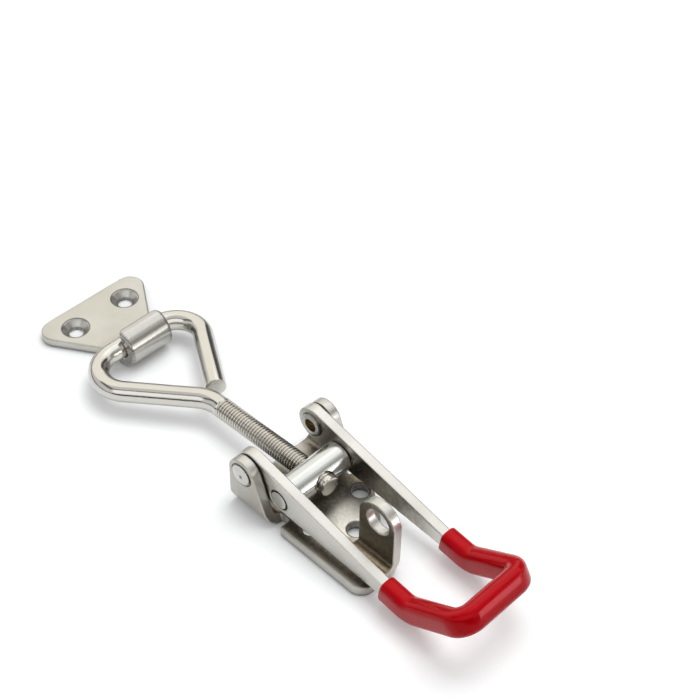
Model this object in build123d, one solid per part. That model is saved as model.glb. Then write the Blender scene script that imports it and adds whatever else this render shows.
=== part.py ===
"""Over centre toggle latch, closed, with its strike plate hooked on.

Millimetres. The base plate's underside lies on z = 0, centred on y = 0, with the handle's pivot above x = 0.
+X runs to the grip, -X to the strike plate.
"""
import os
from math import atan2, cos, degrees, radians, sin, tan

from build123d import *

# Sheet, rod and running fits
SHEET = 4.0            # thickness of the base plate and the strike plate
ROD_D = 8.0            # draw bolt, M8
RUN = 0.05             # radial clearance of pins in their holes
FACE_GAP = 0.35        # side clearance between faces that turn past each other
EDGE = 0.4             # broken edges of turned pieces

# Handle lever: one strip standing on edge, bent to a U
ARM_IN = 12.8          # inner face of each arm, from the centre plane
ARM_T = 4.2            # thickness of the strip
ARM_OUT = ARM_IN + ARM_T

# The two pivots
PIVOT_Z = 18.5         # handle pivot above the base's underside
CROSS_X = 14.1         # cross pin behind the handle pivot, handle closed
CROSS_Z = 13.35        # cross pin height, handle closed: below the line of pull, so over centre

# Base plate
EAR_IN = ARM_OUT + FACE_GAP
EAR_OUT = EAR_IN + SHEET
EAR_BEND = 2.5         # inner radius of the ears' fold
EAR_R = 6.4            # rounded top of the ears
HEAD_SEAT_D = 9.6      # seat sunk round each rivet head in the ear's outer face
HEAD_SEAT_DEPTH = 0.5
EAR_FOOT = 14.0        # rear end of the ears' foot
NOTCH_X = 17.3         # rear side of the relief notch behind each ear
NOTCH_Y = 15.0         # inner side of the relief notch
NOTCH_R = 1.2          # rounded outer corners behind the notch
FLOOR_HALF = 20.0      # half width of the floor behind the ears
FLOOR_END = 57.4       # rear edge of the floor
FLOOR_R = 5.6          # rear corner
SLANT_START = 22.6     # where the floor's far side starts to slant in
SLANT_END = 7.6        # distance of its end from the centre plane
SLANT_R = 3.0          # rounded corner at its end
SCREW_D = 6.6          # plain screw holes in the floor
SCREW_FRONT = (25.2, 12.1)
SCREW_REAR = (36.5, -1.3)

# Lock tab, bent up from the rear of the floor
TAB_START = 41.0
TAB_FACE_Y = -4.95     # the face on the inside of its fold
TAB_BEND = 3.0         # inner radius of its fold
TAB_TOP = 30.1
TAB_HOLE_D = 10.6
TAB_HOLE = (49.6, 22.2)
TAB_SLOT = 0.8         # relief slot in the floor beside the fold

# Draw bolt: threaded shank and triangular loop
LOOP_X = -86.5         # centre of the loop's crossbar
HOOK_GAP = 0.25        # radial play of the crossbar in the strike's hook
LOOP_Z = SHEET + HOOK_GAP + ROD_D / 2
LOOP_NEAR = 34.6       # where the crossbar and the first leg would cross, without the bend
LOOP_FAR = 32.7        # the same for the returning leg
LOOP_R_NEAR = 12.3     # bend radius of the first corner, on the rod's centre line
LOOP_R_FAR = 11.4      # bend radius of the second corner
LEG_START = 45.9       # from the crossbar to where the shank turns into the first leg
LEG_R = 14.0           # bend radius there
LEG_END = (43.0, 5.4)  # centre of the cut end beside the shank
BOLT_PAST = 8.3        # the shank's end past the cross pin's centre

BOLT_CHAMFER = 0.5     # at the threaded end

# Cross pin
BARREL_D = 12.0
BARREL_GAP = 0.2       # side clearance between its middle and each arm
BARREL_HALF = ARM_IN - BARREL_GAP
BARREL_MOUTH = 9.2     # wide end of the countersink at each side of the draw bolt's hole
MOUTH_DEPTH = 2.4      # depth of that countersink below the barrel's crown
SPIGOT_D = 7.0

# Pivot rivets
RIVET_D = 6.6
RIVET_HEAD_D = 8.6
RIVET_HEAD_H = 1.1
RIVET_CROWN_D = 3.6    # flat middle of the head
RIVET_MARK_D = 1.5     # centre punch mark in the crown
RIVET_MARK_DEPTH = 0.4
RIVET_FLARE_D = 9.2    # end rolled out over the arm's inner face
RIVET_FLARE_T = 0.8
RIVET_BORE_D = 5.4     # hollow end
RIVET_BORE_DEPTH = 3.6

# Lever outline
ARM_END_R = 6.8        # round end at the handle pivot
ARM_CROSS_R = 4.9      # round end of the lower edge at the cross pin
STAKE_RING_D = 8.2     # groove left round the cross pin's staked end, in the arm's outer face
STAKE_RING_DEPTH = 0.9
GRIP_START = 63.2      # where the sleeve begins
TIP_DEPTH = 5.8        # depth of each arm where it runs into the sleeve
STRIP_DEPTH = 6.4      # depth of the strip under the sleeve
ARM_TIP = (GRIP_START + 1.5, 8.75)
KNEE = (74.7, 7.55)    # where the strip's centre line turns up to the grip
KNEE_R = 9.0
GRIP_RISE = 31.5       # degrees
GRIP_LEN = 26.2        # from the knee to the crossbar's centre line
GRIP_CORNER_R = 5.2    # on the strip's centre line

# Grip sleeve
SLEEVE_T = 1.5
SLEEVE_CORNER = 1.3    # flats across its four long corners

# Strike plate
STRIKE_Y = 4.1         # it hangs this far along the crossbar
STRIKE_END = 35.0      # from the crossbar's centre to the wide edge
STRIKE_NECK = 19.6     # width of the hook
STRIKE_FLARE = 33.0    # degrees from X of each slanting side
WIDE_HALF = 29.3       # half width of the wide edge, before its corners are rounded
STRIKE_R = 6.0         # corners of the wide edge
STRIKE_HOLE_X = 24.7   # from the crossbar's centre
STRIKE_PITCH = 24.5
STRIKE_HOLE_D = 5.5
STRIKE_SINK_D = 11.0
HOOK_LIP = 97.0        # degrees, from +X over the top to the lip's edge
LIP_CORNER = 2.5       # rounded corners of the lip


def prism_y(face, half):
    """A side view (x, z) made solid to both sides of the centre plane."""
    return extrude(Plane.XZ * face, amount=half, both=True)


def rod_y(x, z, radius, y_from, y_to):
    """A cylinder along Y between two distances from the centre plane."""
    length = y_to - y_from
    return Pos(x, (y_from + y_to) / 2, z) * Rot(90, 0, 0) * Cylinder(radius, length)


def bent_line(points, radii):
    """Straight runs through points, with a round bend of the given radius at each inner point."""
    pieces = []
    start = Vector(*points[0])
    for before, corner, after, radius in zip(points, points[1:], points[2:], radii):
        at = Vector(*corner)
        back = (Vector(*before) - at).normalized()
        ahead = (Vector(*after) - at).normalized()
        half_angle = radians(back.get_angle(ahead)) / 2
        inward = (back + ahead).normalized()
        leave = at + back * (radius / tan(half_angle))
        arrive = at + ahead * (radius / tan(half_angle))
        middle = at + inward * (radius / sin(half_angle) - radius)
        pieces.append(Line(start, leave))
        pieces.append(ThreePointArc(leave, middle, arrive))
        start = arrive
    pieces.append(Line(start, Vector(*points[-1])))
    return Wire(pieces)


# Base plate. The front is a channel with the ears as its sides, cut to the ears' outline.
channel_top = PIVOT_Z + 2 * EAR_R
channel = Rectangle(2 * EAR_OUT, channel_top, align=(Align.CENTER, Align.MIN))
channel = fillet(channel.vertices().group_by(Axis.Y)[0], EAR_BEND + SHEET)
hollow = Rectangle(2 * EAR_IN, channel_top, align=(Align.CENTER, Align.MIN))
hollow = fillet(hollow.vertices().group_by(Axis.Y)[0], EAR_BEND)
channel = channel - Pos(0, SHEET) * hollow
channel_solid = extrude(Plane.YZ.offset(-EAR_R) * channel, amount=EAR_R + EAR_FOOT)

ear_outline = make_hull([
    Pos(0, PIVOT_Z) * Edge.make_circle(EAR_R),
    Line((-EAR_R, 0), (EAR_FOOT, 0)),
])
front = channel_solid & prism_y(ear_outline, EAR_OUT + 1)

slot_x = TAB_START - TAB_SLOT
fold_y = TAB_FACE_Y - TAB_BEND
under_ears = EAR_FOOT / 2
floor_outline = Polyline(
    (under_ears, -NOTCH_Y),
    (NOTCH_X, -NOTCH_Y),
    (NOTCH_X, -FLOOR_HALF),
    (FLOOR_END, -FLOOR_HALF),
    (FLOOR_END, fold_y),
    (slot_x, fold_y),
    (slot_x, SLANT_END),
    (SLANT_START, FLOOR_HALF),
    (NOTCH_X, FLOOR_HALF),
    (NOTCH_X, NOTCH_Y),
    (under_ears, NOTCH_Y),
    close=True,
)
floor = make_face(floor_outline)
rear_corner = floor.vertices().sort_by_distance((FLOOR_END, -FLOOR_HALF, 0))[0]
floor = fillet(rear_corner, FLOOR_R)
notch_corners = [
    floor.vertices().sort_by_distance((NOTCH_X, side * FLOOR_HALF, 0))[0] for side in (-1, 1)
]
floor = fillet(notch_corners, NOTCH_R)
slot_corner = floor.vertices().sort_by_distance((slot_x, SLANT_END, 0))[0]
floor = fillet(slot_corner, SLANT_R)
floor_solid = extrude(floor, amount=SHEET)

# The tab's fold: the floor turns up through a quarter turn, then stands upright.
outer_fold = TAB_BEND + SHEET
fold = Pos(fold_y, outer_fold) * (Circle(outer_fold) - Circle(TAB_BEND))
fold = fold & (Pos(fold_y, 0) * Rectangle(outer_fold, outer_fold, align=(Align.MIN, Align.MIN)))
upright = Pos(TAB_FACE_Y, outer_fold) * Rectangle(SHEET, TAB_TOP - outer_fold, align=(Align.MIN, Align.MIN))
root = Pos(fold_y - 1, 0) * Rectangle(1, SHEET, align=(Align.MIN, Align.MIN))
tab_section = fold + upright + root
tab_width = FLOOR_END - TAB_START
tab_solid = extrude(Plane.YZ.offset(TAB_START) * tab_section, amount=tab_width)
tab_round = tab_width / 2
tab_outline = Pos(TAB_START + tab_round, TAB_TOP - tab_round) * Circle(tab_round)
tab_outline += Pos(TAB_START, 0) * Rectangle(tab_width, TAB_TOP - tab_round, align=(Align.MIN, Align.MIN))
tab_outline -= Pos(*TAB_HOLE) * Circle(TAB_HOLE_D / 2)
tab_solid = tab_solid & prism_y(tab_outline, EAR_OUT)

base_plate = front + floor_solid + tab_solid
front_screws = [SCREW_FRONT, (SCREW_FRONT[0], -SCREW_FRONT[1])]
for hole in front_screws + [SCREW_REAR]:
    base_plate -= Pos(hole[0], hole[1], SHEET / 2) * Cylinder(SCREW_D / 2, SHEET + 2)
base_plate -= rod_y(0, PIVOT_Z, RIVET_D / 2, -EAR_OUT - 1, EAR_OUT + 1)
head_at = EAR_OUT - HEAD_SEAT_DEPTH
base_plate -= rod_y(0, PIVOT_Z, HEAD_SEAT_D / 2, head_at, EAR_OUT + 1)
base_plate -= rod_y(0, PIVOT_Z, HEAD_SEAT_D / 2, -EAR_OUT - 1, -head_at)

# Pivot rivets: a low head sunk in the ear, a hollow end rolled out over the arm's inner face.
flare_at = ARM_IN - RUN
hollow_end = flare_at - RIVET_FLARE_T
crown = head_at + RIVET_HEAD_H
rivet_section = Polyline(
    (0, hollow_end + RIVET_BORE_DEPTH),
    (RIVET_BORE_D / 2, hollow_end + RIVET_BORE_DEPTH),
    (RIVET_BORE_D / 2, hollow_end),
    (RIVET_FLARE_D / 2, hollow_end),
    (RIVET_FLARE_D / 2, flare_at),
    (RIVET_D / 2, flare_at),
    (RIVET_D / 2, head_at),
    (RIVET_HEAD_D / 2, head_at),
    (RIVET_HEAD_D / 2, crown - EDGE),
    (RIVET_CROWN_D / 2, crown),
    (RIVET_MARK_D / 2, crown),
    (0, crown - RIVET_MARK_DEPTH),
    close=True,
)
rivet = revolve(make_face(rivet_section), Axis.Y)
pivot_rivet_right = Pos(0, 0, PIVOT_Z) * rivet
pivot_rivet_left = mirror(pivot_rivet_right, about=Plane.XZ)

# Handle lever: two arms cut to outline, and the bent-up end swept as one strip.
arm_outline = make_hull([
    Pos(0, PIVOT_Z) * Edge.make_circle(ARM_END_R),
    Pos(CROSS_X, CROSS_Z) * Edge.make_circle(ARM_CROSS_R),
    Line((ARM_TIP[0], ARM_TIP[1] - TIP_DEPTH / 2), (ARM_TIP[0], ARM_TIP[1] + TIP_DEPTH / 2)),
])
arms = prism_y(arm_outline, ARM_OUT) - prism_y(arm_outline, ARM_IN)

strip_y = (ARM_IN + ARM_OUT) / 2
run_in = atan2(KNEE[1] - ARM_TIP[1], KNEE[0] - ARM_TIP[0])
grip_x = KNEE[0] + GRIP_LEN * cos(radians(GRIP_RISE))
grip_z = KNEE[1] + GRIP_LEN * sin(radians(GRIP_RISE))


def grip_path(start_x):
    """The strip's centre line from one arm round the crossbar to the other arm."""
    start_z = KNEE[1] + (start_x - KNEE[0]) * tan(run_in)
    return bent_line(
        [
            (start_x, -strip_y, start_z),
            (KNEE[0], -strip_y, KNEE[1]),
            (grip_x, -strip_y, grip_z),
            (grip_x, strip_y, grip_z),
            (KNEE[0], strip_y, KNEE[1]),
            (start_x, strip_y, start_z),
        ],
        [KNEE_R, GRIP_CORNER_R, GRIP_CORNER_R, KNEE_R],
    )


def along_grip(section, start_x):
    path = grip_path(start_x)
    start = Plane(path @ 0, x_dir=(0, 1, 0), z_dir=path % 0)
    return sweep(start * section, path=path)


strip = along_grip(Rectangle(ARM_T, STRIP_DEPTH), ARM_TIP[0] - EDGE)
handle_lever = arms + strip
handle_lever -= rod_y(0, PIVOT_Z, RIVET_D / 2 + RUN, -ARM_OUT - 1, ARM_OUT + 1)
handle_lever -= rod_y(CROSS_X, CROSS_Z, SPIGOT_D / 2 + RUN, -ARM_OUT - 1, ARM_OUT + 1)
ring_at = ARM_OUT - STAKE_RING_DEPTH
handle_lever -= rod_y(CROSS_X, CROSS_Z, STAKE_RING_D / 2, ring_at, ARM_OUT + 1)
handle_lever -= rod_y(CROSS_X, CROSS_Z, STAKE_RING_D / 2, -ARM_OUT - 1, -ring_at)

# Grip sleeve: a dipped skin over the bent-up end.
sleeve_section = Rectangle(ARM_T + 2 * SLEEVE_T, STRIP_DEPTH + 2 * SLEEVE_T)
sleeve_section = chamfer(sleeve_section.vertices(), SLEEVE_CORNER)
grip_sleeve = along_grip(sleeve_section, GRIP_START) - handle_lever

# Cross pin, with a smaller spigot in each arm and the draw bolt's hole through its middle.
pull = atan2(CROSS_Z - LOOP_Z, CROSS_X - LOOP_X)
body = rod_y(CROSS_X, CROSS_Z, BARREL_D / 2, -BARREL_HALF, BARREL_HALF)
body = chamfer(body.edges().filter_by(GeomType.CIRCLE), EDGE)
barrel = body + rod_y(CROSS_X, CROSS_Z, SPIGOT_D / 2, -ARM_OUT, ARM_OUT)
bolt_way = Pos(CROSS_X, 0, CROSS_Z) * Rot(0, 90 - degrees(pull), 0)
barrel -= bolt_way * Cylinder(ROD_D / 2 + RUN, 2 * BARREL_D)
mouth = Cone(ROD_D / 2, BARREL_MOUTH / 2, MOUTH_DEPTH, align=(Align.CENTER, Align.CENTER, Align.MAX))
for turn in (0, 180):
    barrel -= bolt_way * Rot(turn, 0, 0) * Pos(0, 0, BARREL_D / 2) * mouth

# Draw bolt: bent flat in the plane of pull.
bolt_plane = Plane(
    (LOOP_X, 0, LOOP_Z),
    x_dir=(cos(pull), 0, sin(pull)),
    z_dir=(-sin(pull), 0, cos(pull)),
)
shank_end = (CROSS_X - LOOP_X) / cos(pull) + BOLT_PAST
bolt_points = [
    (shank_end, 0, 0),
    (LEG_START, 0, 0),
    (0, -LOOP_NEAR, 0),
    (0, LOOP_FAR, 0),
    (LEG_END[0], LEG_END[1], 0),
]
bolt_path = bolt_plane * bent_line(bolt_points, [LEG_R, LOOP_R_NEAR, LOOP_R_FAR])
bolt_start = Plane(bolt_path @ 0, z_dir=bolt_path % 0)
draw_bolt = sweep(bolt_start * Circle(ROD_D / 2), path=bolt_path)
tip = draw_bolt.edges().filter_by(GeomType.CIRCLE).sort_by(Axis.X)[-1]
draw_bolt = chamfer(tip, BOLT_CHAMFER)
cut_end = draw_bolt.edges().filter_by(GeomType.CIRCLE).sort_by_distance(bolt_path @ 1)[0]
draw_bolt = chamfer(cut_end, EDGE)

# Strike plate: flat plate narrowing to a hook rolled round the loop's crossbar.
slant = tan(radians(STRIKE_FLARE))
neck_x = STRIKE_END - (WIDE_HALF - STRIKE_NECK / 2) / slant
plate_outline = Polyline(
    (0, -STRIKE_NECK / 2),
    (-neck_x, -STRIKE_NECK / 2),
    (-STRIKE_END, -WIDE_HALF),
    (-STRIKE_END, WIDE_HALF),
    (-neck_x, STRIKE_NECK / 2),
    (0, STRIKE_NECK / 2),
    close=True,
)
plate_face = make_face(plate_outline)
plate_face = fillet(plate_face.vertices().group_by(Axis.X)[0], STRIKE_R)
plate = extrude(plate_face, amount=SHEET)
sink_depth = (STRIKE_SINK_D - STRIKE_HOLE_D) / 2
for side in (-1, 1):
    hole_at = Pos(-STRIKE_HOLE_X, side * STRIKE_PITCH / 2, 0)
    plate -= hole_at * Cylinder(STRIKE_HOLE_D / 2, 3 * SHEET)
    plate -= hole_at * Pos(0, 0, SHEET - sink_depth / 2) * Cone(
        STRIKE_HOLE_D / 2, STRIKE_SINK_D / 2, sink_depth
    )

hook_in = ROD_D / 2 + HOOK_GAP
hook_out = hook_in + SHEET
reach = 2 * hook_out
lip = radians(HOOK_LIP)
open_side = make_face(Polyline(
    (0, 0),
    (0, -reach),
    (-reach, -reach),
    (-reach, reach),
    (reach * cos(lip), reach * sin(lip)),
    close=True,
))
hook_section = Circle(hook_out) - Circle(hook_in) - open_side
hook = extrude(Plane.XZ * (Pos(0, LOOP_Z) * hook_section), amount=STRIKE_NECK / 2, both=True)
lip_corners = hook.edges().filter_by(Axis.Y, reverse=True).filter_by(GeomType.LINE).group_by(Axis.Z)[-1]
hook = fillet(lip_corners, LIP_CORNER)
strike_plate = Pos(LOOP_X, STRIKE_Y, 0) * (plate + hook)

# One file per piece
os.makedirs("parts", exist_ok=True)
export_step(base_plate, "parts/base_plate.step")
export_step(pivot_rivet_left, "parts/pivot_rivet_left.step")
export_step(pivot_rivet_right, "parts/pivot_rivet_right.step")
export_step(handle_lever, "parts/handle_lever.step")
export_step(grip_sleeve, "parts/grip_sleeve.step")
export_step(barrel, "parts/barrel.step")
export_step(draw_bolt, "parts/draw_bolt.step")
export_step(strike_plate, "parts/strike_plate.step")
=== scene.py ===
"""Over centre toggle latch, closed and lying on a white table, as the photograph shows it."""
from math import atan2, cos, degrees, pi, radians, sin, tan

import bmesh
import bpy
from mathutils import Matrix, Vector


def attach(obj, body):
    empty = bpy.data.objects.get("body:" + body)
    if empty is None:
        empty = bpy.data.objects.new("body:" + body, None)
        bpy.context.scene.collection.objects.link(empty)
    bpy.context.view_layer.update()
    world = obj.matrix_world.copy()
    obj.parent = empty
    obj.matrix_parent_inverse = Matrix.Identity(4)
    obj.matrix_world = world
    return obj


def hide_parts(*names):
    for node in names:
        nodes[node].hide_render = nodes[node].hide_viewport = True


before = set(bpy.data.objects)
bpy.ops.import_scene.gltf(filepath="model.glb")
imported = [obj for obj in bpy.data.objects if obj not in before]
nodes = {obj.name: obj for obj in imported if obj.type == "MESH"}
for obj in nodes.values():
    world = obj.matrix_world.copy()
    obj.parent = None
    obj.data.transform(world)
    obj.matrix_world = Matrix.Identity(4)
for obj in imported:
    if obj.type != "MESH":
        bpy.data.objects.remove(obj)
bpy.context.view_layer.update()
scene = bpy.context.scene

# Camera, table and light.
# The camera looks down over the grip's side from about 0.6 m. The table is a wide white sheet
# under one large soft lamp. Bright metal mirrors a cream ceiling, the table and a dark wall
# between the two.
CAMERA_TURN = radians(44.15)
CAMERA_HEIGHT = radians(44.69)
CAMERA_ROLL = radians(1.04)
CAMERA_TARGET = Vector((-0.0265, 0.0, 0.0))
CAMERA_AIM_OFF = (-0.04158, -0.03259)
CAMERA_DISTANCE = 0.5797
CAMERA_LENS = 80.83
SENSOR_WIDTH = 36

level_right = Vector((cos(CAMERA_TURN), sin(CAMERA_TURN), 0))
level_up = Vector((
    -sin(CAMERA_TURN) * sin(CAMERA_HEIGHT),
    cos(CAMERA_TURN) * sin(CAMERA_HEIGHT),
    cos(CAMERA_HEIGHT),
))
backward = level_right.cross(level_up)
camera_right = cos(CAMERA_ROLL) * level_right + sin(CAMERA_ROLL) * level_up
camera_up = -sin(CAMERA_ROLL) * level_right + cos(CAMERA_ROLL) * level_up
camera_at = (
    CAMERA_TARGET
    - CAMERA_AIM_OFF[0] * camera_right
    - CAMERA_AIM_OFF[1] * camera_up
    + CAMERA_DISTANCE * backward
)
camera_data = bpy.data.cameras.new("camera")
camera_data.lens = CAMERA_LENS
camera_data.sensor_width = SENSOR_WIDTH
camera = bpy.data.objects.new("camera", camera_data)
camera.matrix_world = Matrix.Translation(camera_at) @ Matrix(
    (camera_right, camera_up, backward)
).transposed().to_4x4()
scene.collection.objects.link(camera)
scene.camera = camera
scene.view_settings.view_transform = "Standard"


def flat_sheet(name, middle, facing, width, height):
    """A rectangle that faces a point, for the table and the cards round it."""
    sheet = bmesh.new()
    bmesh.ops.create_grid(sheet, x_segments=1, y_segments=1, size=0.5)
    mesh = bpy.data.meshes.new(name)
    sheet.to_mesh(mesh)
    sheet.free()
    card = bpy.data.objects.new(name, mesh)
    towards = (Vector(facing) - Vector(middle)).normalized()
    turn = towards.to_track_quat("Z", "Y").to_matrix().to_4x4()
    card.matrix_world = Matrix.Translation(middle) @ turn @ Matrix.Diagonal((width, height, 1, 1))
    scene.collection.objects.link(card)
    return card


def bare_tree(owner):
    """A material's or a world's node tree with nothing in it."""
    owner.use_nodes = True
    owner.node_tree.nodes.clear()
    return owner.node_tree


def add_node(tree, kind, inputs=None, **settings):
    """One shader node. Each input is a plain value, or another node's output to link."""
    made = tree.nodes.new("ShaderNode" + kind)
    for setting, value in settings.items():
        setattr(made, setting, value)
    for socket, value in (inputs or {}).items():
        if isinstance(value, bpy.types.NodeSocket):
            tree.links.new(value, made.inputs[socket])
        else:
            made.inputs[socket].default_value = value
    return made


def number(tree, operation, *values):
    """A number worked out by one Math node."""
    return add_node(tree, "Math", dict(enumerate(values)), operation=operation).outputs[0]


def vector(tree, operation, *values):
    """A vector, or a length or dot product, worked out by one Vector Math node."""
    made = add_node(tree, "VectorMath", dict(enumerate(values)), operation=operation)
    return made.outputs["Value" if operation in ("LENGTH", "DOT_PRODUCT") else "Vector"]


def ramp(tree, value, low, high, at_low=0.0, at_high=1.0, course="LINEAR"):
    """A number that goes from at_low to at_high while the value goes from low to high."""
    return add_node(tree, "MapRange", {
        "Value": value,
        "From Min": low,
        "From Max": high,
        "To Min": at_low,
        "To Max": at_high,
    }, interpolation_type=course).outputs[0]


def seen_or_mirrored(tree):
    """1 where a surface is seen straight, or mirrored in metal, and 0 for scattered light."""
    path = add_node(tree, "LightPath").outputs
    straight = number(tree, "MAXIMUM", path["Is Camera Ray"], path["Is Glossy Ray"])
    return number(tree, "MAXIMUM", straight, path["Is Transmission Ray"])


TABLE_SIZE = 6
TABLE_DROP = 0.0001
TABLE_SCATTER = (0.8, 0.8, 0.8, 1)
TABLE_SHADED = (0.69, 0.705, 0.71, 1)
TABLE_GLOW = 0.47
CONTACT_REACH = 0.010
SHADOWS_END = 0.20
PLAIN_WHITE = 0.55
table = flat_sheet("table", (0, 0, -TABLE_DROP), (0, 0, 1), TABLE_SIZE, TABLE_SIZE)
table_paper = bpy.data.materials.new("table_paper")
tree = bare_tree(table_paper)
scatter = add_node(tree, "BsdfDiffuse", {"Color": TABLE_SCATTER})
shaded = add_node(tree, "BsdfDiffuse", {"Color": TABLE_SHADED})
# The table's glow is dimmed by ambient occlusion near the parts: a painted contact shadow.
painted_contact_shadow = add_node(tree, "AmbientOcclusion", {"Distance": CONTACT_REACH}, samples=8)
glow_with_painted_shadow = number(tree, "MULTIPLY", painted_contact_shadow.outputs["AO"], TABLE_GLOW)
glow = add_node(tree, "Emission", {"Strength": glow_with_painted_shadow})
lifted = add_node(tree, "AddShader", {0: shaded.outputs[0], 1: glow.outputs[0]})
far_glow = add_node(tree, "Emission")
distance = vector(tree, "LENGTH", add_node(tree, "NewGeometry").outputs["Position"])
far_off = ramp(tree, distance, SHADOWS_END, PLAIN_WHITE, course="SMOOTHSTEP")
plain = add_node(tree, "MixShader", {0: far_off, 1: lifted.outputs[0], 2: far_glow.outputs[0]})
chosen = add_node(tree, "MixShader", {
    0: seen_or_mirrored(tree), 1: scatter.outputs[0], 2: plain.outputs[0],
})
add_node(tree, "OutputMaterial", {"Surface": chosen.outputs[0]})
table.data.materials.append(table_paper)

ROOM_LIGHT = 0.48
PAPER_LIGHT = 1.0
world = bpy.data.worlds.new("white_paper")
scene.world = world
tree = bare_tree(world)
room = add_node(tree, "Background", {"Strength": ROOM_LIGHT})
paper = add_node(tree, "Background", {"Strength": PAPER_LIGHT})
chosen = add_node(tree, "MixShader", {
    0: seen_or_mirrored(tree), 1: room.outputs[0], 2: paper.outputs[0],
})
add_node(tree, "OutputWorld", {"Surface": chosen.outputs[0]})

LAMP_SIDE = 0.6
LAMP_POWER = 6.2
LAMP_AT = Vector((-0.05, 0.30, 1.0))
LAMP_AIM = Vector((-0.02, 0, 0))
lamp_data = bpy.data.lights.new("soft_lamp", "AREA")
lamp_data.shape = "RECTANGLE"
lamp_data.size = LAMP_SIDE
lamp_data.size_y = LAMP_SIDE
lamp_data.energy = LAMP_POWER
lamp = bpy.data.objects.new("soft_lamp", lamp_data)
lamp.matrix_world = Matrix.Translation(LAMP_AT) @ (
    (LAMP_AT - LAMP_AIM).to_track_quat("Z", "Y").to_matrix().to_4x4()
)
lamp.visible_glossy = False
scene.collection.objects.link(lamp)


def mirror_card(name, bearing, height, distance, width, tall, color, strength):
    """A card that only shows in shiny surfaces, at a bearing and height in degrees."""
    out = Vector((
        cos(radians(bearing)) * cos(radians(height)),
        sin(radians(bearing)) * cos(radians(height)),
        sin(radians(height)),
    ))
    card = flat_sheet(name, out * distance, (0, 0, 0), width, tall)
    shade = bpy.data.materials.new(name)
    tree = bare_tree(shade)
    even = add_node(tree, "Emission", {"Color": color, "Strength": strength})
    add_node(tree, "OutputMaterial", {"Surface": even.outputs[0]})
    card.data.materials.append(shade)
    card.visible_camera = False
    card.visible_diffuse = False
    card.visible_shadow = False


CREAM = (1.0, 0.975, 0.90, 1)
WHITE = (1.0, 1.0, 1.0, 1)
BLACK = (0.9, 0.95, 1.0, 1)
WALL_DISTANCE = 1.6
WALL_HEIGHT = 0.19
WALL_LENGTH = 0.9
WALL_STEP = 30
WALL_GLOW = 0.06
wall_rise = degrees(atan2(WALL_HEIGHT / 2, WALL_DISTANCE))
for bearing in range(0, 360, WALL_STEP):
    mirror_card(
        "dark_wall", bearing, wall_rise, WALL_DISTANCE, WALL_LENGTH, WALL_HEIGHT, BLACK, WALL_GLOW
    )
# Bright sheets and dark flags: bearing, height, distance, width, height of the card, tone, glow.
mirror_card("far_sheet", 134, 50, 1.30, 3.4, 1.55, CREAM, 1.30)
mirror_card("key_sheet", 100, 66, 1.10, 0.9, 0.70, WHITE, 1.45)
mirror_card("front_sheet", -46, 42, 1.20, 2.2, 0.75, WHITE, 1.35)
mirror_card("front_flag", -46, 6, 1.25, 2.6, 0.38, BLACK, 0.03)
mirror_card("top_flag", -46, 66, 1.25, 1.8, 0.14, BLACK, 0.08)
mirror_card("back_flag", 100, 24, 1.25, 1.0, 0.60, BLACK, 0.10)
mirror_card("right_flag", 39, 25, 1.30, 0.8, 0.95, CREAM, 0.42)
mirror_card("right_sheet", 33, 16, 0.38, 0.11, 0.16, WHITE, 1.7)
mirror_card("low_sheet", 22, 9, 0.36, 0.09, 0.09, WHITE, 5.0)
mirror_card("high_sheet", 115, 56, 1.05, 0.34, 0.20, WHITE, 1.8)
mirror_card("left_flag", -128, 44, 1.30, 0.9, 0.30, BLACK, 0.15)


# Base plate.
# Pressed from 4 mm sheet: two ears and the padlock tab are folded up, the holes are punched and the
# edges tumbled round before the warm nickel finish.
def shader_group(name, inputs, outputs):
    """A node group with its sockets, what it is given, and what it puts out."""
    group = bpy.data.node_groups.new(name, "ShaderNodeTree")
    for label, kind, value in inputs:
        socket = group.interface.new_socket(
            label, in_out="INPUT", socket_type="NodeSocket" + kind
        )
        socket.default_value = value
    for label, kind in outputs:
        group.interface.new_socket(label, in_out="OUTPUT", socket_type="NodeSocket" + kind)
    given = group.nodes.new("NodeGroupInput").outputs
    result = group.nodes.new("NodeGroupOutput").inputs
    return group, given, result


def mixed(tree, share, first, second):
    """A colour between two others."""
    return add_node(tree, "Mix", {
        "Factor": share, "A": first, "B": second,
    }, data_type="RGBA").outputs["Result"]


CLOUD_EDGES = (0.35, 0.65)
SHEEN_EDGES = (0.6, 1.4)
MOTTLE_SCALE = 900
MOTTLE_EDGES = (0.35, 0.62)
MOTTLE_LOW = 0.65
TURNED_EDGES = (0.2, 0.8)


def tumbled_metal():
    """Slow changes of tone, a fine grain and a broken sheen, as tumbled and plated metal has."""
    group, given, result = shader_group("tumbled_metal", [
        ("Color", "Color", (0.7, 0.68, 0.62, 1)),
        ("Dark Color", "Color", (0.5, 0.48, 0.43, 1)),
        ("Cloud Size", "Float", 0.012),
        ("Cloud Amount", "Float", 0.3),
        ("Grain Size", "Float", 0.0005),
        ("Sheen Low", "Float", 0.25),
        ("Sheen High", "Float", 0.4),
    ], [("Color", "Color"), ("Roughness", "Float"), ("Height", "Float")])
    at = add_node(group, "TexCoord").outputs["Object"]

    def noise(size, detail):
        return add_node(group, "TexNoise", {
            "Vector": at, "Scale": number(group, "DIVIDE", 1.0, size), "Detail": detail,
        }).outputs["Fac"]

    cloud = noise(given["Cloud Size"], 4)
    grain = noise(given["Grain Size"], 2)
    patches = ramp(group, cloud, *CLOUD_EDGES)
    amount = number(group, "MULTIPLY", patches, given["Cloud Amount"])
    tone = mixed(group, amount, given["Color"], given["Dark Color"])
    both = number(group, "ADD", grain, cloud)
    sheen = ramp(group, both, *SHEEN_EDGES, given["Sheen Low"], given["Sheen High"])
    group.links.new(tone, result["Color"])
    group.links.new(sheen, result["Roughness"])
    group.links.new(grain, result["Height"])
    return group


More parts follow.
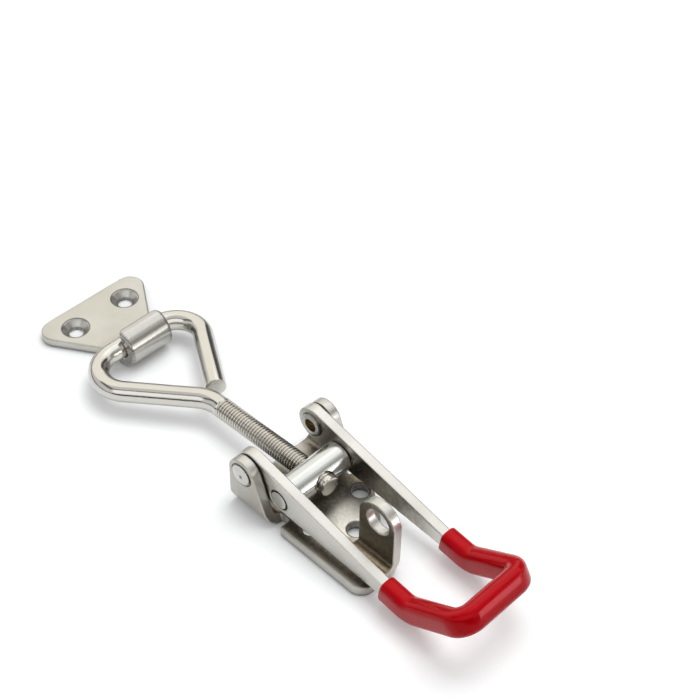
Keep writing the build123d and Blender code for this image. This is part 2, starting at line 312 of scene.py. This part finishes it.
def boxed_tone_or_shade():
    """Another tone, or painted shade, inside a box that fades out, on faces that look one way, or
    on all.
    """
    group, given, result = shader_group("boxed_tone_or_shade", [
        ("Color", "Color", (0.6, 0.6, 0.6, 1)),
        ("Box Color", "Color", (0.2, 0.2, 0.2, 1)),
        ("Middle", "Vector", (0, 0, 0)),
        ("Half", "Vector", (0, 0, 0)),
        ("Looks", "Vector", (0, 0, 1)),
        ("Fade", "Float", 0.002),
        ("Strength", "Float", 0.5),
    ], [("Color", "Color"), ("Mask", "Float")])
    at = add_node(group, "TexCoord").outputs
    offset = vector(group, "SUBTRACT", at["Object"], given["Middle"])
    beyond = vector(group, "SUBTRACT", vector(group, "ABSOLUTE", offset), given["Half"])
    outside = vector(group, "LENGTH", vector(group, "MAXIMUM", beyond))
    fading = ramp(group, outside, 0.0, given["Fade"], given["Strength"], 0.0, "SMOOTHSTEP")
    either_way = number(group, "SUBTRACT", 1.0, vector(group, "LENGTH", given["Looks"]))
    one_way = vector(group, "DOT_PRODUCT", at["Normal"], given["Looks"])
    turned = ramp(group, number(group, "ADD", one_way, either_way), *TURNED_EDGES)
    mottle = add_node(group, "TexNoise", {
        "Vector": at["Object"], "Scale": MOTTLE_SCALE, "Detail": 4,
    })
    patchy = ramp(group, mottle.outputs["Fac"], *MOTTLE_EDGES, MOTTLE_LOW)
    facing = number(group, "MULTIPLY", fading, turned)
    mask = number(group, "MULTIPLY", facing, patchy)
    group.links.new(mixed(group, mask, given["Color"], given["Box Color"]), result["Color"])
    group.links.new(facing, result["Mask"])
    return group


def rim_shade_line():
    """A thin dark line round a hole or a round end: painted shade at the edge."""
    group, given, result = shader_group("rim_shade_line", [
        ("Color", "Color", (0.6, 0.6, 0.6, 1)),
        ("Line Color", "Color", (0.05, 0.05, 0.05, 1)),
        ("Middle", "Vector", (0, 0, 0)),
        ("Across", "Vector", (1, 1, 0)),
        ("Radius", "Float", 0.004),
        ("Width", "Float", 0.0003),
        ("Strength", "Float", 0.8),
    ], [("Color", "Color")])
    at = add_node(group, "TexCoord").outputs["Object"]
    offset = vector(group, "SUBTRACT", at, given["Middle"])
    from_middle = vector(group, "LENGTH", vector(group, "MULTIPLY", offset, given["Across"]))
    past = number(group, "ABSOLUTE", number(group, "SUBTRACT", from_middle, given["Radius"]))
    fading = ramp(group, past, 0.0, given["Width"], given["Strength"], 0.0, "SMOOTHSTEP")
    group.links.new(mixed(group, fading, given["Color"], given["Line Color"]), result["Color"])
    return group


metal_group = tumbled_metal()
boxed_tone_group = boxed_tone_or_shade()
rim_shade_group = rim_shade_line()
GRAIN_DEPTH = 0.0001


def metal(name, values, bump):
    """A metal that takes its tone, sheen and grain from the shared group."""
    material = bpy.data.materials.new(name)
    material.use_nodes = True
    tree = material.node_tree
    surface = tree.nodes["Principled BSDF"].inputs
    surface["Metallic"].default_value = 1.0
    finish = add_node(tree, "Group", values, node_tree=metal_group).outputs
    relief = add_node(tree, "Bump", {
        "Strength": bump, "Distance": GRAIN_DEPTH, "Height": finish["Height"],
    })
    tree.links.new(finish["Color"], surface["Base Color"])
    tree.links.new(finish["Roughness"], surface["Roughness"])
    tree.links.new(relief.outputs["Normal"], surface["Normal"])
    return material


def recolor(material, group, values):
    """Passes the metal's colour through one more group, and returns that group's node."""
    tree = material.node_tree
    base = tree.nodes["Principled BSDF"].inputs["Base Color"]
    added = add_node(tree, "Group", {"Color": base.links[0].from_socket, **values}, node_tree=group)
    tree.links.new(added.outputs["Color"], base)
    return added


def tint_or_shade(material, tone, middle, half, looks, fade, strength):
    """A tone, or painted shade, in a box given by its middle and its half size, on faces that look
    one way.
    """
    return recolor(material, boxed_tone_group, {
        "Box Color": tone,
        "Middle": middle,
        "Half": half,
        "Looks": looks,
        "Fade": fade,
        "Strength": strength,
    })


def ring_shade(material, middle, across, radius, width, strength):
    """A painted dark ring of shade round an axis; across is 1 for the two directions that the ring
    lies in.
    """
    recolor(material, rim_shade_group, {
        "Line Color": DARK,
        "Middle": middle,
        "Across": across,
        "Radius": radius,
        "Width": width,
        "Strength": strength,
    })


SAME_POINT = 0.000002


def join_faces(piece):
    """Joins the faces of a solid, which come with points of their own."""
    weld = piece.modifiers.new("join_faces", "WELD")
    weld.merge_threshold = SAME_POINT


def tumble(piece, cell, rounds):
    """Rounds every edge alike, as the tumbling drum does: small cells, then smoothing."""
    join_faces(piece)
    cells = piece.modifiers.new("small_cells", "REMESH")
    cells.mode = "VOXEL"
    cells.voxel_size = cell
    cells.use_smooth_shade = True
    soften = piece.modifiers.new("rounded_edges", "SMOOTH")
    soften.factor = 0.5
    soften.iterations = rounds


def dress(piece, material):
    """Puts a material on a solid of the frame and shades it smooth."""
    for place in piece.material_slots:
        place.material = material
    piece.data.shade_smooth()


BROWN_SHADE = (0.17, 0.14, 0.105, 1)
GOLDEN = (0.28, 0.19, 0.08, 1)
DARK = (0.035, 0.032, 0.03, 1)
SHADE = (0.10, 0.10, 0.10, 1)
PALE = (0.80, 0.775, 0.70, 1)
UP = (0, 0, 1)
ALL_WAYS = (0, 0, 0)
ROUND_Y = (1, 0, 1)
ROUND_Z = (1, 1, 0)
SHEET_FINISH = {
    "Color": (0.56, 0.55, 0.515, 1),
    "Dark Color": (0.46, 0.44, 0.39, 1),
    "Cloud Size": 0.02,
    "Cloud Amount": 0.6,
    "Grain Size": 0.0007,
    "Sheen Low": 0.26,
    "Sheen High": 0.40,
}
PIVOT_Z = 0.0185
TAB_X = 0.050
SCREW_HOLES = ((0.0252, 0.0121), (0.0252, -0.0121), (0.0365, -0.0013))
SCREW_HOLE_RIM = 0.0036
RIVET_RIM = 0.0047
base_sheet = metal("base_sheet", SHEET_FINISH, bump=0.25)
# Painted shade on the floor under the cross pin, and a paler patch behind it.
tint_or_shade(base_sheet, BROWN_SHADE, (0.013, 0, 0.004), (0.010, 0.013, 0.001), UP, 0.013, 0.85)
tint_or_shade(base_sheet, PALE, (0.031, 0, 0.004), (0.0035, 0.0050, 0.001), UP, 0.005, 0.85)
# Fold at the tab's foot, and painted shade on the tab's side face.
tint_or_shade(
    base_sheet, GOLDEN, (TAB_X, -0.007, 0.005), (0.012, 0.0016, 0.002),
    (0, -0.7, 0.7), 0.002, 0.8,
)
tint_or_shade(base_sheet, BROWN_SHADE, (TAB_X, -0.005, 0.016), (0.012, 0.0006, 0.014), (0, -1, 0), 0.002, 0.75)
for side in (-1, 1):
    # Painted shade on the floor under the arm, on the ear's outer face, and in the gap between ear
    # and arm.
    tint_or_shade(base_sheet, BROWN_SHADE, (0.030, side * 0.0155, 0.004), (0.040, 0.0012, 0.001), UP, 0.003, 0.85)
    tint_or_shade(
        base_sheet, BROWN_SHADE, (0, side * 0.0213, 0.010), (0.020, 0.0006, 0.016),
        (0, side, 0), 0.002, 0.3,
    )
    tint_or_shade(
        base_sheet, DARK, (0, side * 0.0174, 0.018), (0.014, 0.0002, 0.010),
        ALL_WAYS, 0.0004, 0.95,
    )
# Painted shade along the lower edges, next to the table.
tint_or_shade(base_sheet, SHADE, (0.02, 0, 0), (0.05, 0.03, 0.0003), ALL_WAYS, 0.0016, 0.65)
# Painted shade in each screw hole's wall, and a painted dark ring at its rim.
for hole_x, hole_y in SCREW_HOLES:
    tint_or_shade(
        base_sheet, DARK, (hole_x, hole_y, 0.002), (0.0032, 0.0032, 0.0012),
        (0.7, -0.7, 0), 0.0006, 0.7,
    )
    ring_shade(base_sheet, (hole_x, hole_y, 0), ROUND_Z, SCREW_HOLE_RIM, 0.0004, 0.8)
# A painted shade ring round each rivet head's seat.
ring_shade(base_sheet, (0, 0, PIVOT_Z), ROUND_Y, RIVET_RIM, 0.0004, 0.9)
base_plate = nodes["base_plate"]
dress(base_plate, base_sheet)
tumble(base_plate, cell=0.00029, rounds=7)

# Pivot rivets.
# Turned steel pins with a low head outside each ear and a hollow end rolled over inside the arm.
BRASSY = (0.50, 0.42, 0.27, 1)
turned_pin = metal("turned_pin", {
    "Color": (0.56, 0.55, 0.52, 1),
    "Dark Color": (0.50, 0.49, 0.46, 1),
    "Cloud Size": 0.004,
    "Cloud Amount": 0.4,
    "Grain Size": 0.0004,
    "Sheen Low": 0.2,
    "Sheen High": 0.32,
}, bump=0.15)
# Shadow under the head's edge, wider towards the lower side of the ear.
ring_shade(turned_pin, (-0.0005, 0, 0.0189), ROUND_Y, 0.0049, 0.0008, 0.75)
for side in (-1, 1):
    # Bore of the hollow end, and a small dark spot just off the head's middle.
    tint_or_shade(
        turned_pin, BRASSY, (0, side * 0.0137, PIVOT_Z), (0.0026, 0.0024, 0.0026),
        ALL_WAYS, 0.0003, 0.9,
    )
    tint_or_shade(
        turned_pin, DARK, (0.0004, side * 0.0222, 0.0183), (0.0003, 0.001, 0.0003),
        ALL_WAYS, 0.0008, 0.9,
    )
for name in ("pivot_rivet_left", "pivot_rivet_right"):
    dress(nodes[name], turned_pin)

# Handle lever.
# One strip of 4.2 mm steel on edge, bent to a U. Its arms carry the pivots, and its far end turns
# up as the grip.
CROSS_PIN = (0.0141, 0.01335)
lever_steel = metal("lever_steel", {
    "Color": (0.62, 0.605, 0.565, 1),
    "Dark Color": (0.53, 0.52, 0.49, 1),
    "Cloud Size": 0.015,
    "Cloud Amount": 0.5,
    "Grain Size": 0.0006,
    "Sheen Low": 0.24,
    "Sheen High": 0.38,
}, bump=0.2)
# Painted shade on the arms' inner faces.
for side in (-1, 1):
    tint_or_shade(
        lever_steel, BROWN_SHADE, (0.030, side * 0.0126, 0.012), (0.020, 0.0004, 0.012),
        (0, -side, 0), 0.012, 0.7,
    )
# Painted shade rings round the pivot rivet's flared end and round the cross pin's spigot end.
ring_shade(lever_steel, (0, 0, PIVOT_Z), ROUND_Y, 0.0048, 0.0003, 0.8)
ring_shade(lever_steel, (CROSS_PIN[0], 0, CROSS_PIN[1]), ROUND_Y, 0.0039, 0.0005, 0.95)
handle_lever = nodes["handle_lever"]
dress(handle_lever, lever_steel)
tumble(handle_lever, cell=0.00028, rounds=6)

# Grip sleeve.
# Soft red vinyl, dipped over the bent-up end while hot, so its corners are round and its skin is
# glossy.
STRIP_T = 0.0042
STRIP_DEPTH = 0.0064
STRIP_Y = 0.0149
SLEEVE_T = 0.0015
SLEEVE_ROUND = 0.0026
SLEEVE_START = 0.0632
KNEE = (0.0747, 0.00755)
KNEE_R = 0.009
ARM_TIP = (0.0647, 0.00875)
GRIP_RISE = radians(31.5)
GRIP_LENGTH = 0.0262
GRIP_CORNER_R = 0.0052
GRIP_BEND_STEPS = 12
SKIN_CORNER_STEPS = 5
RUN_MARGIN = 0.0003


def bent_line(points, radii, steps):
    """Points and directions along straight runs with a round bend at each inner point."""
    places = []
    start = Vector(points[0])
    for before, corner, after, radius in zip(points, points[1:], points[2:], radii):
        at = Vector(corner)
        back = (Vector(before) - at).normalized()
        ahead = (Vector(after) - at).normalized()
        half = back.angle(ahead) / 2
        inward = (back + ahead).normalized()
        leave = at + back * (radius / tan(half))
        centre = at + inward * (radius / sin(half))
        places.append((start, -back))
        places.append((leave + back * RUN_MARGIN, -back))
        sweep = pi - 2 * half
        out = (leave - centre).normalized()
        for step in range(steps + 1):
            turn = sweep * step / steps
            places.append((
                centre + radius * (cos(turn) * out - sin(turn) * back),
                -cos(turn) * back - sin(turn) * out,
            ))
        start = at + ahead * (radius / tan(half) + RUN_MARGIN)
    places.append((Vector(points[-1]), (Vector(points[-1]) - start).normalized()))
    return places


def skin(name, rings):
    """A surface through rings of points, closed at both ends."""
    count = len(rings[0])
    shell = bmesh.new()
    made = [[shell.verts.new(point) for point in ring] for ring in rings]
    for ring, following in zip(made, made[1:]):
        for k in range(count):
            n = (k + 1) % count
            shell.faces.new((ring[k], ring[n], following[n], following[k]))
    shell.faces.new(list(reversed(made[0])))
    shell.faces.new(made[-1])
    bmesh.ops.recalc_face_normals(shell, faces=shell.faces)
    mesh = bpy.data.meshes.new(name)
    shell.to_mesh(mesh)
    shell.free()
    mesh.shade_smooth()
    piece = bpy.data.objects.new(name, mesh)
    scene.collection.objects.link(piece)
    return piece


def rounded_outline(width, depth, radius, per_corner):
    """Corner points of a rounded rectangle, anticlockwise."""
    outline = []
    for turn, x, y in ((0, 1, 1), (1, -1, 1), (2, -1, -1), (3, 1, -1)):
        for step in range(per_corner + 1):
            angle = (turn + step / per_corner) * pi / 2
            outline.append((
                x * (width / 2 - radius) + radius * cos(angle),
                y * (depth / 2 - radius) + radius * sin(angle),
            ))
    return outline


grip_x = KNEE[0] + GRIP_LENGTH * cos(GRIP_RISE)
grip_z = KNEE[1] + GRIP_LENGTH * sin(GRIP_RISE)
run_in = atan2(KNEE[1] - ARM_TIP[1], KNEE[0] - ARM_TIP[0])
start_z = KNEE[1] + (SLEEVE_START - KNEE[0]) * tan(run_in)
grip_line = bent_line(
    [
        (SLEEVE_START, -STRIP_Y, start_z),
        (KNEE[0], -STRIP_Y, KNEE[1]),
        (grip_x, -STRIP_Y, grip_z),
        (grip_x, STRIP_Y, grip_z),
        (KNEE[0], STRIP_Y, KNEE[1]),
        (SLEEVE_START, STRIP_Y, start_z),
    ],
    [KNEE_R, GRIP_CORNER_R, GRIP_CORNER_R, KNEE_R],
    GRIP_BEND_STEPS,
)
# The skin rolls in at its two open ends: a shift along the line, and how far it has grown there.
LIP = [(0.0, 0.0), (0.0, 0.5), (0.0003, 0.86), (0.0009, 1.0)]
side = Vector((0, 1, 0))
previous = grip_line[0][1]
grip_rings = []
for place, (point, ahead) in enumerate(grip_line):
    side = previous.rotation_difference(ahead) @ side
    previous = ahead
    side = (side - ahead * side.dot(ahead)).normalized()
    across = ahead.cross(side)
    width = STRIP_T + 2 * SLEEVE_T
    depth = STRIP_DEPTH + 2 * SLEEVE_T
    ends = [(0.0, 1.0)]
    if place == 0:
        ends = LIP
    if place == len(grip_line) - 1:
        ends = [(-shift, grown) for shift, grown in reversed(LIP)]
    for shift, grown in ends:
        thinner = 2 * SLEEVE_T * (1 - grown)
        outline = rounded_outline(
            width - thinner, depth - thinner, SLEEVE_ROUND - thinner / 2, SKIN_CORNER_STEPS
        )
        grip_rings.append([point + ahead * shift + side * x + across * y for x, y in outline])
grip_skin = skin("grip_skin", grip_rings)

VINYL_DEEP = (0.46, 0.0005, 0.003, 1)
VINYL_BRIGHT = (0.57, 0.001, 0.006, 1)
VINYL_GLOSS_TINT = (1.0, 0.15, 0.19, 1)
VINYL_ROUGHNESS = 0.13
VINYL_WAVES = 90
WAVE_STRENGTH = 0.12
WAVE_DEPTH = 0.0006
red_vinyl = bpy.data.materials.new("red_vinyl")
red_vinyl.use_nodes = True
tree = red_vinyl.node_tree
surface = tree.nodes["Principled BSDF"].inputs
surface["Roughness"].default_value = VINYL_ROUGHNESS
surface["Specular Tint"].default_value = VINYL_GLOSS_TINT
waves = add_node(tree, "TexNoise", {
    "Vector": add_node(tree, "TexCoord").outputs["Object"], "Scale": VINYL_WAVES, "Detail": 3,
}).outputs["Fac"]
relief = add_node(tree, "Bump", {
    "Strength": WAVE_STRENGTH, "Distance": WAVE_DEPTH, "Height": waves,
})
tree.links.new(mixed(tree, waves, VINYL_DEEP, VINYL_BRIGHT), surface["Base Color"])
tree.links.new(relief.outputs["Normal"], surface["Normal"])
grip_skin.data.materials.append(red_vinyl)
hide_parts("grip_sleeve")
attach(grip_skin, "handle")

# Cross pin.
# Turned steel bar with a spigot at each end in the lever's arms. The draw bolt screws through its
# middle.
TURNED_EDGE = 0.00015
SHARP_FROM = radians(32)
FLAT_UNDER = radians(1)
turned_bar = metal("turned_bar", {
    "Color": (0.62, 0.63, 0.61, 1),
    "Dark Color": (0.56, 0.565, 0.54, 1),
    "Cloud Size": 0.01,
    "Cloud Amount": 0.4,
    "Grain Size": 0.0003,
    "Sheen Low": 0.16,
    "Sheen High": 0.26,
}, bump=0.1)
cross_pin = nodes["barrel"]
dress(cross_pin, turned_bar)
join_faces(cross_pin)
flats = cross_pin.modifiers.new("whole_faces", "DECIMATE")
flats.decimate_type = "DISSOLVE"
flats.angle_limit = FLAT_UNDER
turned_edges = cross_pin.modifiers.new("broken_edges", "BEVEL")
turned_edges.width = TURNED_EDGE
turned_edges.segments = 3
turned_edges.limit_method = "ANGLE"
turned_edges.angle_limit = SHARP_FROM
flat_faces = cross_pin.modifiers.new("flat_faces", "WEIGHTED_NORMAL")
flat_faces.keep_sharp = False
flat_faces.weight = 80

# Draw bolt.
# Polished 8 mm rod bent cold to a triangular loop, its end cut square beside the shank. The
# thread is rolled.
ROD_R = 0.004
LOOP_X = -0.0865
LOOP_Z = 0.00825
SHANK_PAST_PIN = 0.0083
LOOP_POINT = (0.0459, 0, 0)
LOOP_NEAR_CORNER = (0, -0.0346, 0)
LOOP_FAR_CORNER = (0, 0.0327, 0)
LOOP_CUT_END = (0.0430, 0.0054, 0)
LOOP_BENDS = [0.0140, 0.0123, 0.0114]
ROD_BEND_STEPS = 28
THREAD_LENGTH = 0.0565
THREAD_PITCH = 0.00125
THREAD_DEPTH = 0.00068
THREAD_RUN_OUT = 0.0015
THREAD_STEPS = 14
CREST_SHARE = 0.16
FLANK_SHARE = 0.66
PLAIN_END = 0.0011
END_ROUND = 0.0005
END_MIDDLE_R = 0.0012
CUT_ROUND = (
    (-0.0005, 0.004), (-0.0002, 0.00392), (-0.00005, 0.00375), (0, 0.0035), (0, END_MIDDLE_R),
)
ROUND_STEPS = 64
pull = atan2(CROSS_PIN[1] - LOOP_Z, CROSS_PIN[0] - LOOP_X)
shank_end = (CROSS_PIN[0] - LOOP_X) / cos(pull) + SHANK_PAST_PIN
bolt_line = bent_line(
    [(shank_end, 0, 0), LOOP_POINT, LOOP_NEAR_CORNER, LOOP_FAR_CORNER, LOOP_CUT_END],
    LOOP_BENDS,
    ROD_BEND_STEPS,
)
bolt_frame = Matrix.Translation((LOOP_X, 0, LOOP_Z)) @ Matrix.Rotation(-pull, 4, "Y")


def rod_ring(point, ahead, radius_at):
    """One ring of the rod, in the plane of pull, with a radius for each step round it."""
    flat = Vector((-ahead.y, ahead.x, 0))
    ring = []
    for step in range(ROUND_STEPS):
        turn = 2 * pi * step / ROUND_STEPS
        radius = radius_at(step / ROUND_STEPS)
        out = cos(turn) * flat + sin(turn) * Vector((0, 0, 1))
        ring.append(bolt_frame @ (point + radius * out))
    return ring


def thread_radius(along, turn):
    """Rolled thread: flat crests, sloping flanks and a rounded root, running out at the shank."""
    phase = (along / THREAD_PITCH + turn) % 1.0
    flank = abs(phase - 0.5) * 2
    groove = min(max((flank - CREST_SHARE) / FLANK_SHARE, 0.0), 1.0)
    groove = groove * groove * (3 - 2 * groove) * 0.5 + groove * 0.5
    fade = min(max((THREAD_LENGTH - along) / THREAD_RUN_OUT, 0.0), 1.0)
    fade *= min(max((along - PLAIN_END) / THREAD_PITCH, 0.0), 1.0)
    radius = ROD_R - THREAD_DEPTH * groove * fade
    corner = max(END_ROUND - along, 0.0)
    return radius - END_ROUND + (END_ROUND ** 2 - corner ** 2) ** 0.5


start, ahead = bolt_line[0]
steps = round(THREAD_LENGTH / THREAD_PITCH * THREAD_STEPS)
bolt_rings = [rod_ring(start, ahead, lambda turn: END_MIDDLE_R)]
for step in range(steps + 1):
    along = THREAD_LENGTH * step / steps
    bolt_rings.append(
        rod_ring(start + ahead * along, ahead, lambda turn: thread_radius(along, turn))
    )
for point, ahead in bolt_line[1:-1]:
    bolt_rings.append(rod_ring(point, ahead, lambda turn: ROD_R))
cut, ahead = bolt_line[-1]
for shift, radius in CUT_ROUND:
    bolt_rings.append(rod_ring(cut + ahead * shift, ahead, lambda turn: radius))
draw_rod = skin("draw_rod", bolt_rings)

THREAD_ROOT_TONE = (0.24, 0.17, 0.085, 1)
DARKER_ROOT_SHARE = 0.26
UNDARKENED_NEAR_CREST = 0.0001
ROOT_MARGIN = 0.00005
THREAD_MARGIN = 0.001
polished_rod = metal("polished_rod", {
    "Color": (0.62, 0.60, 0.56, 1),
    "Dark Color": (0.54, 0.525, 0.48, 1),
    "Cloud Size": 0.02,
    "Cloud Amount": 0.4,
    "Grain Size": 0.0004,
    "Sheen Low": 0.10,
    "Sheen High": 0.18,
}, bump=0.05)
# The thread's roots are darker and browner, but not the end face or where the axis meets the
# crossbar.
tree = polished_rod.node_tree
pull_way = (cos(pull), 0, sin(pull))
root_r = ROD_R - THREAD_DEPTH
at = add_node(tree, "TexCoord").outputs["Object"]
from_loop = vector(tree, "SUBTRACT", at, (LOOP_X, 0, LOOP_Z))
from_axis = vector(tree, "LENGTH", vector(tree, "CROSS_PRODUCT", from_loop, pull_way))
along_bolt = vector(tree, "DOT_PRODUCT", from_loop, pull_way)
root = ramp(tree, from_axis, root_r, ROD_R - UNDARKENED_NEAR_CREST, DARKER_ROOT_SHARE, 0.0)
rolled_side = number(tree, "GREATER_THAN", from_axis, root_r - ROOT_MARGIN)
thread_start = shank_end - THREAD_LENGTH - THREAD_MARGIN
on_thread = number(tree, "GREATER_THAN", along_bolt, thread_start)
darker_roots = number(tree, "MULTIPLY", root, number(tree, "MULTIPLY", rolled_side, on_thread))
base_color = tree.nodes["Principled BSDF"].inputs["Base Color"]
tree.links.new(mixed(tree, darker_roots, base_color.links[0].from_socket, THREAD_ROOT_TONE), base_color)
draw_rod.data.materials.append(polished_rod)
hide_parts("draw_bolt")
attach(draw_rod, "bolt")

# Strike plate.
# Pressed from the same 4 mm sheet, its neck rolled up to a hook that holds the loop's crossbar. The
# two screw holes are countersunk.
SINK_X = -0.1112
SINK_YS = (0.01635, -0.00815)
SINK_R = 0.0055
HOOK_ENDS = (-0.0050, 0.0132)
HOOK_TONE = (0.47, 0.455, 0.43, 1)
HOOK_ROUGHNESS = 0.20
strike_sheet = metal("strike_sheet", SHEET_FINISH, bump=0.2)
# Painted shade in each countersink, and a painted dark ring at its rim.
for sink_y in SINK_YS:
    tint_or_shade(
        strike_sheet, SHADE, (SINK_X, sink_y, 0.002), (0.0054, 0.0054, 0.0016),
        (1, 0, 0), 0.0003, 0.45,
    )
    ring_shade(strike_sheet, (SINK_X, sink_y, 0), ROUND_Z, SINK_R, 0.00035, 0.85)
rolled = tint_or_shade(
    strike_sheet, HOOK_TONE, (-0.084, 0.0041, 0.011), (0.012, 0.012, 0.0075), ALL_WAYS, 0.002, 1
)
# Painted shade along the lower edges, a painted dark line at the hook's lip, and painted dark bands
# at the hook's two ends.
tint_or_shade(strike_sheet, SHADE, (-0.1, 0, 0), (0.05, 0.04, 0.0003), ALL_WAYS, 0.0016, 0.65)
tint_or_shade(
    strike_sheet, DARK, (-0.0874, 0.0041, 0.0162), (0.0003, 0.0098, 0.0004), ALL_WAYS, 0.0006, 0.95
)
for hook_end in HOOK_ENDS:
    tint_or_shade(
        strike_sheet, DARK, (-0.084, hook_end, 0.011), (0.009, 0.0002, 0.008),
        ALL_WAYS, 0.0007, 0.45,
    )
tree = strike_sheet.node_tree
roughness = tree.nodes["Principled BSDF"].inputs["Roughness"]
rubbed = add_node(tree, "Mix", {
    "Factor": rolled.outputs["Mask"], "A": roughness.links[0].from_socket, "B": HOOK_ROUGHNESS,
})
tree.links.new(rubbed.outputs["Result"], roughness)
strike_plate = nodes["strike_plate"]
dress(strike_plate, strike_sheet)
tumble(strike_plate, cell=0.0003, rounds=42)
